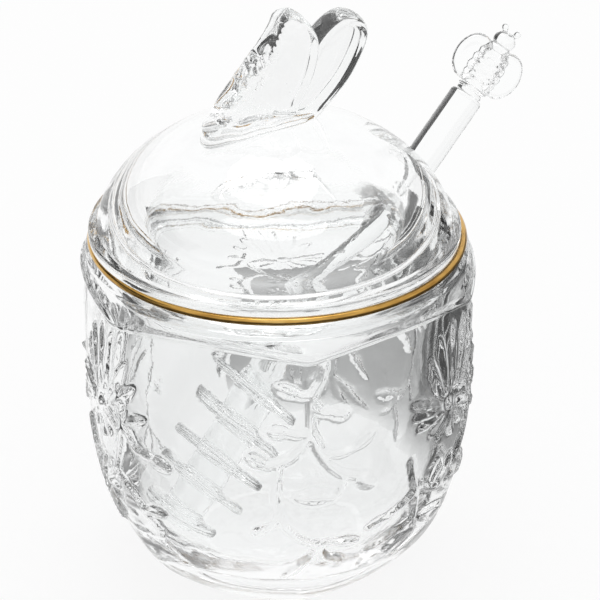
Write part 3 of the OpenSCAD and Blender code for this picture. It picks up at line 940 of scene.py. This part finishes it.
a = np.arange(96) * 2 * np.pi / 96
radius, along = section[:, :1], section[:, 1:]
free = smooth_step(-66, -50, along) * smooth_step(ROD_UP, ROD_UP - 8, along)
hand_work = 0.05 * np.sin(along / 6) + 0.04 * np.sin(along / 2.7 + 1)
radius = radius + free * (hand_work + 0.03 * np.cos(2 * a + along / 20))
on_disc = smooth_step(7, 12, radius)
radius = radius + on_disc * (0.12 * np.sin(2 * a + along) + 0.10 * np.sin(3 * a - along / 3))
tilt = on_disc * 0.25 * np.cos(a + along)
sheet = turned_sheet(radius, a, along + tilt)
rod = sew("dipper_glass", lean(sheet), first=lean((0, 0, section[0, 1])),
          last=lean((0, 0, ROD_UP)))
print("rod and discs:", triangles(rod), "triangles")

# %% [markdown]
# ## The bee
#
# A bee sits on the rod's end, with a ringed body, a creased head, two round wings and two
# feelers with beads on their tips. Each part is a simple turned or squashed shape that is
# drawn upright on the rod's own line, and leaned into place with it.

# %% Body of the bee
BEE_ROLL = math.radians(-45)
BEE_L, BEE_R, RINGS, RING_STEP, TAPER = 15.5, 4.6, 7, 0.86, 0.13
BEE_SINK, FLAT_END, RING_DEPTH = 1.2, 1.2, 0.35
HEAD_W, HEAD_T, HEAD_L, HEAD_UP = 2.95, 2.5, 2.4, 1.5
WING_W, WING_T, WING_L, WING_OUT, WING_BACK, WING_UP = 4.45, 2.1, 6.2, 4.5, -3, 1.4
FEELER_R, FEELER_L, FEELER_BEAD_R, FEELER_SPREAD = 0.6, 2.1, 0.9, math.radians(30)
FEELER_OUT, FEELER_UP = 0.75, 1.3
ring_t = BEE_L / (1 + (RINGS - 1) * RING_STEP)
bee_mid = ROD_UP - BEE_SINK + BEE_L / 2
head_at = bee_mid + BEE_L / 2 + HEAD_UP


def upright_shape(at, radii, columns=40):
    """Rings about the upright line, and the two poles that close them."""
    a = np.arange(columns) * 2 * np.pi / columns
    sheet = turned_sheet(radii[:, None], a, at[:, None])
    return sheet[1:-1], (0, 0, at[0]), (0, 0, at[-1])


def roll(points):
    """Turns points about the upright line by the bee's roll."""
    x, y, z = np.moveaxis(np.asarray(points, float), -1, 0)
    c, s = math.cos(BEE_ROLL), math.sin(BEE_ROLL)
    return np.stack([x * c - y * s, x * s + y * c, z], axis=-1)


bits = []
n = np.arange(RINGS) - (RINGS - 1) / 2
ring_mid = bee_mid + n * RING_STEP * ring_t
ring_r = BEE_R - TAPER * n * n
at = np.linspace(bee_mid - BEE_L / 2, bee_mid + BEE_L / 2, 160)
offset = np.abs(at[:, None] - ring_mid) / (ring_t / 2)
edge = ring_r - ring_t / 2 + ring_t / 2 * np.sqrt(np.clip(1 - offset ** 2, 0, 1))
radii = np.where(offset < 1, edge, 0).max(axis=1)
envelope = BEE_R - TAPER * ((at - bee_mid) / (RING_STEP * ring_t)) ** 2 - RING_DEPTH
middle_part = np.abs(at - bee_mid) < BEE_L / 2 - FLAT_END
radii = np.where(middle_part, np.maximum(radii, envelope), radii)
radii[[0, -1]] = 0
shape, low, high = upright_shape(at, radii)
bits.append(sew("bee_rings", lean(shape), first=lean(low), last=lean(high)))
print("bee's body from", round(float(at[0]), 1), "to", round(float(at[-1]), 1), "mm up the rod")

# %% [markdown]
# The head is a ball with a crease down the middle, where two eyes meet. A wing is a squashed
# ball too, hollowed inside its rim. A feeler is a thin line with a bead. The crease and the
# hollow are shares of the radius, so the shapes stay closed.

# %% Head, wings and feelers of the bee
q = np.linspace(0, np.pi, 48)[1:-1, None]
a = np.arange(64) * 2 * np.pi / 64
crease = 1 - 0.10 * np.exp(-(np.cos(a) / 0.13) ** 2)
shape = np.stack([HEAD_W * np.sin(q) * np.cos(a) * crease,
                  HEAD_T * np.sin(q) * np.sin(a) * crease,
                  -HEAD_L * np.cos(q) + 0 * a + head_at], axis=-1)
bits.append(sew("bee_head", lean(roll(shape)), first=lean(roll((0, 0, head_at - HEAD_L))),
                last=lean(roll((0, 0, head_at + HEAD_L)))))

rim = 0.75 + 0.25 * smooth_step(0.62, 0.86, np.hypot(np.sin(q) * np.cos(a), np.cos(q)))
wing = np.stack([WING_W * np.sin(q) * np.cos(a), WING_T * np.sin(q) * np.sin(a) * rim,
                 -WING_L * np.cos(q) + 0 * a], axis=-1)
at = np.linspace(-FEELER_R, FEELER_L + FEELER_BEAD_R, 40)
thin = np.sqrt(np.clip(FEELER_R ** 2 - np.clip(-at, 0, 1) ** 2, 0, 1)) * (at < FEELER_L)
bead = np.sqrt(np.clip(FEELER_BEAD_R ** 2 - (at - FEELER_L) ** 2, 0, 1))
feeler, low, high = upright_shape(at, np.maximum(thin, bead), 20)
for side in (-1, 1):
    shift = np.array([side * WING_OUT, WING_BACK, bee_mid + WING_UP])
    bits.append(sew(f"bee_wing_{side}", lean(roll(wing + shift)),
                    first=lean(roll(shift - [0, 0, WING_L])),
                    last=lean(roll(shift + [0, 0, WING_L]))))
    c, s = math.cos(FEELER_SPREAD), math.sin(FEELER_SPREAD) * side

    def splay(p):
        """Leans a feeler outwards and puts it on the head."""
        px, py, pz = np.moveaxis(np.asarray(p, float), -1, 0)
        return np.stack([px * c + pz * s + side * FEELER_OUT, py,
                         pz * c - px * s + head_at + FEELER_UP], axis=-1)

    bits.append(sew(f"feeler_{side}", lean(roll(splay(feeler))), first=lean(roll(splay(low))),
                    last=lean(roll(splay(high)))))
print("parts of the bee:", len(bits))

# %% [markdown]
# At the lamp these parts were hot when they met, so they flowed into each other. A voxel
# remesh gives all of them one new skin of small cells, and a few rounds of smoothing melt the
# steps between them. The rod is then fused to it by an exact boolean.

# %% Melt the bee and fuse it with the rod
def melt(objects, name, voxel, smooth_rounds):
    """Joins closed meshes and gives them one new skin of square cells of the size voxel."""
    points, faces, start = [], [], 0
    for mesh in [o.data for o in objects]:
        co = np.zeros(len(mesh.vertices) * 3, np.float64)
        mesh.vertices.foreach_get("co", co)
        points.append(co.reshape(-1, 3))
        faces += [[start + i for i in p.vertices] for p in mesh.polygons]
        start += len(mesh.vertices)
    joined = add_object(name, np.concatenate(points) / MM, faces)
    for o in objects:
        bpy.data.objects.remove(o)
    remesh = joined.modifiers.new("melt", "REMESH")
    remesh.mode, remesh.voxel_size = "VOXEL", voxel * MM
    relax = joined.modifiers.new("relax", "SMOOTH")
    relax.factor, relax.iterations = 0.5, smooth_rounds
    with bpy.context.temp_override(object=joined, active_object=joined, selected_objects=[joined]):
        for modifier in (remesh.name, relax.name):
            bpy.ops.object.modifier_apply(modifier=modifier)
    return joined


bee = melt(bits, "bee", 0.2, 3)
print("melted bee:", triangles(bee), "triangles")
combine(rod, bee, "UNION")
dipper = rod
finish_glass(dipper, 60, worked_glass)
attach(dipper, "dipper")
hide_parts("dipper_rod", "dipper_core", "dipper_disc_1", "dipper_disc_2",
            "dipper_disc_3", "dipper_disc_4", "dipper_disc_5", "bee_body", "bee_head",
            "bee_left_wing", "bee_right_wing", "bee_antennae")
print("dipper:", triangles(dipper), "triangles")

# %% [markdown]
# ## The table top
#
# Clear glass shows only what is behind and around it, so the studio is half of its look. The
# floor is white. Rays from the camera, from reflections and through glass find it plain
# white, and a small share of ordinary diffuse white keeps the soft shadow under the pot.

# %% Floor
SEEN_RAYS = ("Is Camera Ray", "Is Glossy Ray", "Is Transmission Ray")
FLOOR_REACH, FLOOR_LIGHT_SHARE = 6, 0.88


def plain_white(name, seen_share):
    """White for seen rays, mixed with diffuse white that takes the shadow."""
    f = Finish(name)
    rays = [f.node("ShaderNodeLightPath", output=ray) for ray in SEEN_RAYS]
    seen = f.node("ShaderNodeMath", dict(operation="MINIMUM"),
                  {0: rays[0] + rays[1] + rays[2], 1: 1.0})
    light = f.node("ShaderNodeEmission", None, {"Color": (1, 1, 1, 1), "Strength": 1.0})
    matt = f.node("ShaderNodeBsdfDiffuse", None, {"Color": (0.9, 0.9, 0.9, 1)})
    both = f.node("ShaderNodeMixShader", None, {0: seen_share * seen, 1: matt, 2: light})
    return f.done(both)


far = FLOOR_REACH / MM
floor = add_object("floor", [(-far, -far, 0), (far, -far, 0), (far, far, 0), (-far, far, 0)],
                   [(0, 1, 2, 3)])
floor.data.materials.append(plain_white("white_floor", FLOOR_LIGHT_SHARE))
floor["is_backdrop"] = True
print("floor:", 2 * FLOOR_REACH, "m wide")

# %% [markdown]
# ## Grey cards round the set
#
# Glass in front of plain white would hardly show. A photographer lights it from a bright
# background and puts dark cards just outside the picture. Rays that go straight through the
# glass see white, and rays that a thick edge bends far aside see a card, which draws that
# edge in grey. The grey could be painted into the glass, but then it would be wrong from every
# other side, so it stands in the studio.
#
# Four cards were placed by trial. A low ring stands round the set and is open behind the pot,
# which keeps the lid's top white. Two cards lie on the table, a wide one in front and to the
# sides and a small one behind, and fade to white near the pot; they give its wall and vine
# their tones. A high card far off on the left draws the rims of the wings. The camera, the
# lamp and the shadow pass through them, so only glass and gold show them.

# %% Finishes of the cards
RING_RADIUS, RING_HIGH = 400, 160
RING_TONES = [(0.0, 0.75), (0.18, 0.16), (0.70, 0.10), (1.0, 0.55)]
NEAR_TONES = [(0.055, 0.92), (0.080, 0.32), (0.120, 0.07), (0.390, 0.06)]
SIDE_TONES = [(0.062, 0.90), (0.085, 0.50), (0.130, 0.30), (0.390, 0.30)]


def glow(f, stops, at):
    """Links a plain light whose grey follows the stops, as pairs of a place and a level."""
    tone = f.node("ShaderNodeValToRGB", dict(stops=[(p, (t, t, t)) for p, t in stops]),
                  {"Fac": at})
    return f.done(f.node("ShaderNodeEmission", None, {"Color": tone, "Strength": 1.0}))


def standing_grey(name, stops, high):
    """Grey that changes with the share of the way up a card of the height high, in mm."""
    f = Finish(name)
    up = f.node("ShaderNodeSeparateXYZ", None, {0: f.place()}, output="Z")
    return glow(f, stops, up * (1 / (high * MM)))


def fading_grey(name, stops):
    """Grey that changes with the level distance from the pot's axis, in metres."""
    f = Finish(name)
    flat = f.node("ShaderNodeVectorMath", dict(operation="MULTIPLY"),
                  {0: f.place(), 1: (1, 1, 0)})
    away = f.node("ShaderNodeVectorMath", dict(operation="LENGTH"), {0: flat}, output="Value")
    return glow(f, stops, away)


# %% [markdown]
# A card is a bent or flat band between two rings round the pot's axis. It is hidden from every
# kind of ray but those that glass and metal bend or reflect.

# %% Put up the cards
def card(name, first, last, inner, outer, material):
    """Band between two rings given as radius and height in mm, over a range of azimuth."""
    count = max(8, int(abs(last - first) / 2.5))
    a = np.radians(np.linspace(first, last, count))
    rings = [turned_sheet(far, a, level) for far, level in (inner, outer)]
    faces = [(i, i + 1, i + 1 + count, i + count) for i in range(count - 1)]
    band = add_object(name, np.concatenate(rings), faces)
    band.data.materials.append(material)
    band.visible_camera = band.visible_diffuse = False
    band.visible_shadow = band.visible_volume_scatter = False
    band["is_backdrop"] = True


card("dark_cards", -225, 20, (RING_RADIUS, 0), (RING_RADIUS, RING_HIGH),
     standing_grey("grey_cards", RING_TONES, RING_HIGH))
card("near_card", -220, 14, (55, 2), (390, 2), fading_grey("near_grey", NEAR_TONES))
card("side_card", 14, 62, (62, 2), (125, 2), fading_grey("side_grey", SIDE_TONES))
card("far_card", 100, 165, (500, 200), (500, 460), fading_grey("far_grey", NEAR_TONES))

# %% [markdown]
# ## Light
#
# The world is white to everything that is seen, and a plain level to everything that is lit.
# One wide lamp overhead adds a soft shadow.

# %% World and lamp
world = bpy.data.worlds.new("white_studio")
bpy.context.scene.world = world
world.use_nodes = True
wt = world.node_tree
wt.nodes.clear()
path = wt.nodes.new("ShaderNodeLightPath")
seen = None
for ray in SEEN_RAYS:
    if seen is None:
        seen = path.outputs[ray]
        continue
    highest = wt.nodes.new("ShaderNodeMath")
    highest.operation = "MAXIMUM"
    wt.links.new(seen, highest.inputs[0])
    wt.links.new(path.outputs[ray], highest.inputs[1])
    seen = highest.outputs[0]
mix = wt.nodes.new("ShaderNodeMixShader")
for strength, slot in ((0.75, 1), (1.0, 2)):
    sky = wt.nodes.new("ShaderNodeBackground")
    sky.inputs["Color"].default_value = (1, 1, 1, 1)
    sky.inputs["Strength"].default_value = strength
    wt.links.new(sky.outputs[0], mix.inputs[slot])
wt.links.new(seen, mix.inputs[0])
out = wt.nodes.new("ShaderNodeOutputWorld")
wt.links.new(mix.outputs[0], out.inputs["Surface"])

lamp_data = bpy.data.lights.new("overhead", "AREA")
lamp_data.shape = "DISK"
lamp_data.size = 0.7
lamp_data.energy = 3.0
lamp = bpy.data.objects.new("overhead", lamp_data)
lamp.location = (0.1, 0.2, 1.1)
bpy.context.scene.collection.objects.link(lamp)
lamp.rotation_euler = (-Vector(lamp.location)).to_track_quat("-Z", "Y").to_euler()

# %% [markdown]
# ## Camera
#
# The photograph was taken from about 29 degrees above the table with a long lens. The camera
# stands where a fit to the rim, the jar's outline and the dome put it. Its azimuth is counted
# from the front, where a camera looks along +Y.

# %% Camera
EYE_AZIMUTH, EYE_ELEVATION, EYE_DISTANCE = math.radians(-35.8), math.radians(28.8), 0.8
right = Vector((math.cos(EYE_AZIMUTH), math.sin(EYE_AZIMUTH), 0))
level_forward = Vector((-math.sin(EYE_AZIMUTH), math.cos(EYE_AZIMUTH), 0))
forward = level_forward * math.cos(EYE_ELEVATION) - Vector((0, 0, math.sin(EYE_ELEVATION)))
upward = level_forward * math.sin(EYE_ELEVATION) + Vector((0, 0, math.cos(EYE_ELEVATION)))
centre = Vector((0, 0, 0.060))
camera_data = bpy.data.cameras.new("camera")
camera_data.lens = 194.7
camera_data.sensor_width = 36
camera = bpy.data.objects.new("camera", camera_data)
camera.location = centre - forward * EYE_DISTANCE
aim = centre + right * 0.00555 + upward * 0.00971
camera.rotation_euler = (aim - camera.location).to_track_quat("-Z", "Y").to_euler()
bpy.context.scene.collection.objects.link(camera)
bpy.context.scene.camera = camera

# %% [markdown]
# ## Last settings and sizes
#
# Standard keeps colours as they are written. Light has to pass many walls here, so rays may
# bend more often than Blender's default allows. The box of the CAD model and the box of the
# dressed part are both worked out, and the size of the dressed part is printed.

# %% View settings, boxes and the end
scene = bpy.context.scene
scene.view_settings.view_transform = "Standard"
scene.cycles.max_bounces = 32
scene.cycles.transmission_bounces = 32
scene.cycles.glossy_bounces = 12
size = {"cad": [list(c) for c in cad_box], "visual": [list(c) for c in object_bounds()]}
print("size of the dressed part:", [round(1000 * (b - a), 1) for a, b in zip(*size["visual"])])
